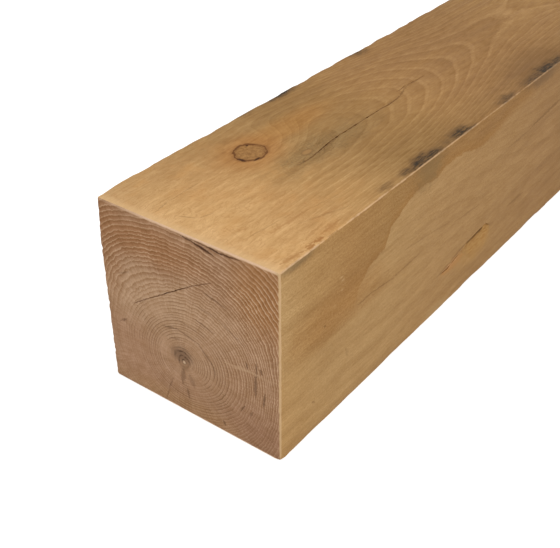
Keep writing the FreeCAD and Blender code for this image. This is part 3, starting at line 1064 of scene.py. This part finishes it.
class OAKPOST_OT_timber(bpy.types.Operator):
    """Builds the post with its eased arrises, worn corner, checks and bark pocket"""

    bl_idname = "oakpost.timber"
    bl_label = "Build Timber"

    def execute(self, context):
        sizes, colours = context.scene.oakpost_sizes, context.scene.oakpost_colours
        groups = pattern_groups()
        faces = [
            top_wood(colours, groups), right_wood(colours, groups),
            end_grain(colours, groups, "near_end_grain", True),
            end_grain(colours, groups, "far_end_grain", False), plain_wood(colours, groups)]
        wall, bark = check_wall(colours, groups), pocket_wood(groups)
        bm = squared_stock(sizes)
        slice_stock(bm, sizes)
        slice_rim(bm)
        wear_corner(bm)
        weather(bm, sizes)
        bmesh.ops.recalc_face_normals(bm, faces=bm.faces[:])
        for face in bm.faces:
            face.material_index = side_of(face.normal)
        timber = as_object(bm, "post_timber", [*faces, wall, bark])
        cut_away(timber, hollows(wall, bark))
        smooth_sides(timber)
        bake_map(timber)
        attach(timber, "root")
        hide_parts("post")
        return {"FINISHED"}


def smooth_sides(timber):
    """Shades the faces smooth, but keeps every edge sharper than 30 degrees."""
    bm = bmesh.new()
    bm.from_mesh(timber.data)
    for face in bm.faces:
        face.smooth = True
    for edge in bm.edges:
        edge.smooth = edge.calc_face_angle(0) < math.radians(30)
    bm.to_mesh(timber.data)
    bm.free()


def bake_map(timber):
    """Lays the faces out for baking: the sides in four strips, and the ends large above them."""
    bm = bmesh.new()
    bm.from_mesh(timber.data)
    layer = bm.loops.layers.uv.new("OFBake")
    size = HIGH - LOW
    near_share = 0.25  # this much of the length takes half of each strip
    rim, strip, end_size = 0.004, 0.15, 0.39
    for face in bm.faces:
        n = face.normal
        sizes = [n.z, n.x, -n.x, -n.z, -n.y, n.y]
        side = sizes.index(max(sizes))
        for loop in face.loops:
            co = loop.vert.co - LOW
            along, across, up = co.y / size.y, co.x / size.x, co.z / size.z
            if side >= 4:
                start = rim if side == 4 else 0.5
                loop[layer].uv = (start + across * end_size, 4 * strip + 0.006 + up * end_size)
                continue
            if along < near_share:
                long_way = along / near_share * 0.5
            else:
                long_way = 0.5 + (along - near_share) / (1 - near_share) * 0.5
            short_way = across if side in (0, 3) else up
            loop[layer].uv = (
                rim + long_way * (1 - 2 * rim), side * strip + 0.003 + short_way * (strip - 0.006))
    bm.to_mesh(timber.data)
    bm.free()


# ---------------------------------------------------------------- the studio

def soft_lamp(name, place, target, size, power):
    """A square lamp at a place, turned to its target."""
    lamp = bpy.data.lights.new(name, "AREA")
    lamp.shape = "SQUARE"
    lamp.size = size
    lamp.energy = power
    made = bpy.data.objects.new(name, lamp)
    bpy.context.scene.collection.objects.link(made)
    turn = (Vector(target) - Vector(place)).to_track_quat("-Z", "Y")
    made.matrix_world = Matrix.Translation(place) @ turn.to_matrix().to_4x4()


def studio_floor(colours):
    """A wide floor that glows a little to the camera, so that it is seen nearly white."""
    bm = bmesh.new()
    bmesh.ops.create_grid(bm, x_segments=8, y_segments=8, size=9)
    floor = as_object(bm, "studio_floor", [])
    material = bpy.data.materials.new("studio_floor")
    material.use_nodes = True
    n = Nodes(material.node_tree)
    shader = material.node_tree.nodes["Principled BSDF"]
    shader.inputs["Base Color"].default_value = (*colours.floor, 1)
    shader.inputs["Roughness"].default_value = 0.9
    shader.inputs["Specular IOR Level"].default_value = 0
    seen = n.add("ShaderNodeLightPath").outputs["Is Camera Ray"]
    glow = n.add("ShaderNodeEmission", {"Strength": n.times(seen, 0.55)})
    both = n.add("ShaderNodeAddShader")
    n.feed(both.inputs[0], shader.outputs[0])
    n.feed(both.inputs[1], glow.outputs[0])
    n.feed(material.node_tree.nodes["Material Output"].inputs["Surface"], both.outputs[0])
    floor.data.materials.append(material)


def studio_world():
    """A white world, dimmer as a light than it is seen."""
    world = bpy.data.worlds.new("studio")
    world.use_nodes = True
    bpy.context.scene.world = world
    n = Nodes(world.node_tree)
    path = n.add("ShaderNodeLightPath").outputs
    shown = n.most(path["Is Camera Ray"], path["Is Glossy Ray"])
    back = world.node_tree.nodes["Background"]
    back.inputs["Color"].default_value = (1, 1, 1, 1)
    n.feed(back.inputs["Strength"], n.between(shown, 0.53, 1))


def studio_camera():
    """A camera above the near end and to its right, looking along the post."""
    azimuth, elevation, roll = math.radians(37.11), math.radians(34.55), math.radians(-0.32)
    ahead = Vector((
        -math.sin(azimuth) * math.cos(elevation), math.cos(azimuth) * math.cos(elevation),
        -math.sin(elevation)))
    right = Vector((math.cos(azimuth), math.sin(azimuth), 0))
    above = right.cross(ahead)
    right, above = (
        right * math.cos(roll) + above * math.sin(roll), above * math.cos(roll) - right * math.sin(roll))
    lens = bpy.data.cameras.new("studio_camera")
    lens.lens = 62.16
    lens.sensor_width = 36
    lens.clip_start = 0.01
    camera = bpy.data.objects.new("studio_camera", lens)
    bpy.context.scene.collection.objects.link(camera)
    turn = Matrix((right, above, -ahead)).transposed().to_4x4()
    camera.matrix_world = Matrix.Translation((0.3480, -1.2609, 0.4616)) @ turn
    bpy.context.scene.camera = camera


class OAKPOST_OT_studio(bpy.types.Operator):
    """Lays the floor, hangs the lamps and sets the camera"""

    bl_idname = "oakpost.studio"
    bl_label = "Build Studio"

    def execute(self, context):
        studio_floor(context.scene.oakpost_colours)
        studio_world()
        soft_lamp("lamp_over", (0.2, -0.6, 2.4), (0, -0.3, 0), 2.4, 21)
        soft_lamp("lamp_front", (0.9, -2.9, 1.3), (0, -0.8, 0.1), 1.8, 19)
        soft_lamp("lamp_right", (2.6, -0.9, 1.2), (0, -0.4, 0.1), 1.8, 17.5)
        studio_camera()
        context.scene.view_settings.view_transform = "Standard"
        return {"FINISHED"}


class OAKPOST_PT_panel(bpy.types.Panel):
    """Lists the steps that build the post and its studio"""

    bl_idname = "OAKPOST_PT_panel"
    bl_label = "Oak Post"
    bl_space_type = "VIEW_3D"
    bl_region_type = "UI"
    bl_category = "Oak Post"

    def draw(self, context):
        column = self.layout.column()
        for group in (context.scene.oakpost_sizes, context.scene.oakpost_colours):
            for name in group.__annotations__:
                column.prop(group, name)
        for operator in OPERATORS:
            column.operator(operator.bl_idname)


OPERATORS = (OAKPOST_OT_timber, OAKPOST_OT_studio)
CLASSES = (OakPostSizes, OakPostColours, *OPERATORS, OAKPOST_PT_panel)


def register():
    for item in CLASSES:
        bpy.utils.register_class(item)
    bpy.types.Scene.oakpost_sizes = PointerProperty(type=OakPostSizes)
    bpy.types.Scene.oakpost_colours = PointerProperty(type=OakPostColours)


def unregister():
    del bpy.types.Scene.oakpost_colours
    del bpy.types.Scene.oakpost_sizes
    for item in reversed(CLASSES):
        bpy.utils.unregister_class(item)


def main():
    register()
    bpy.ops.oakpost.timber()
    bpy.ops.oakpost.studio()
    bpy.context.view_layer.update()


if __name__ == "__main__":
    main()
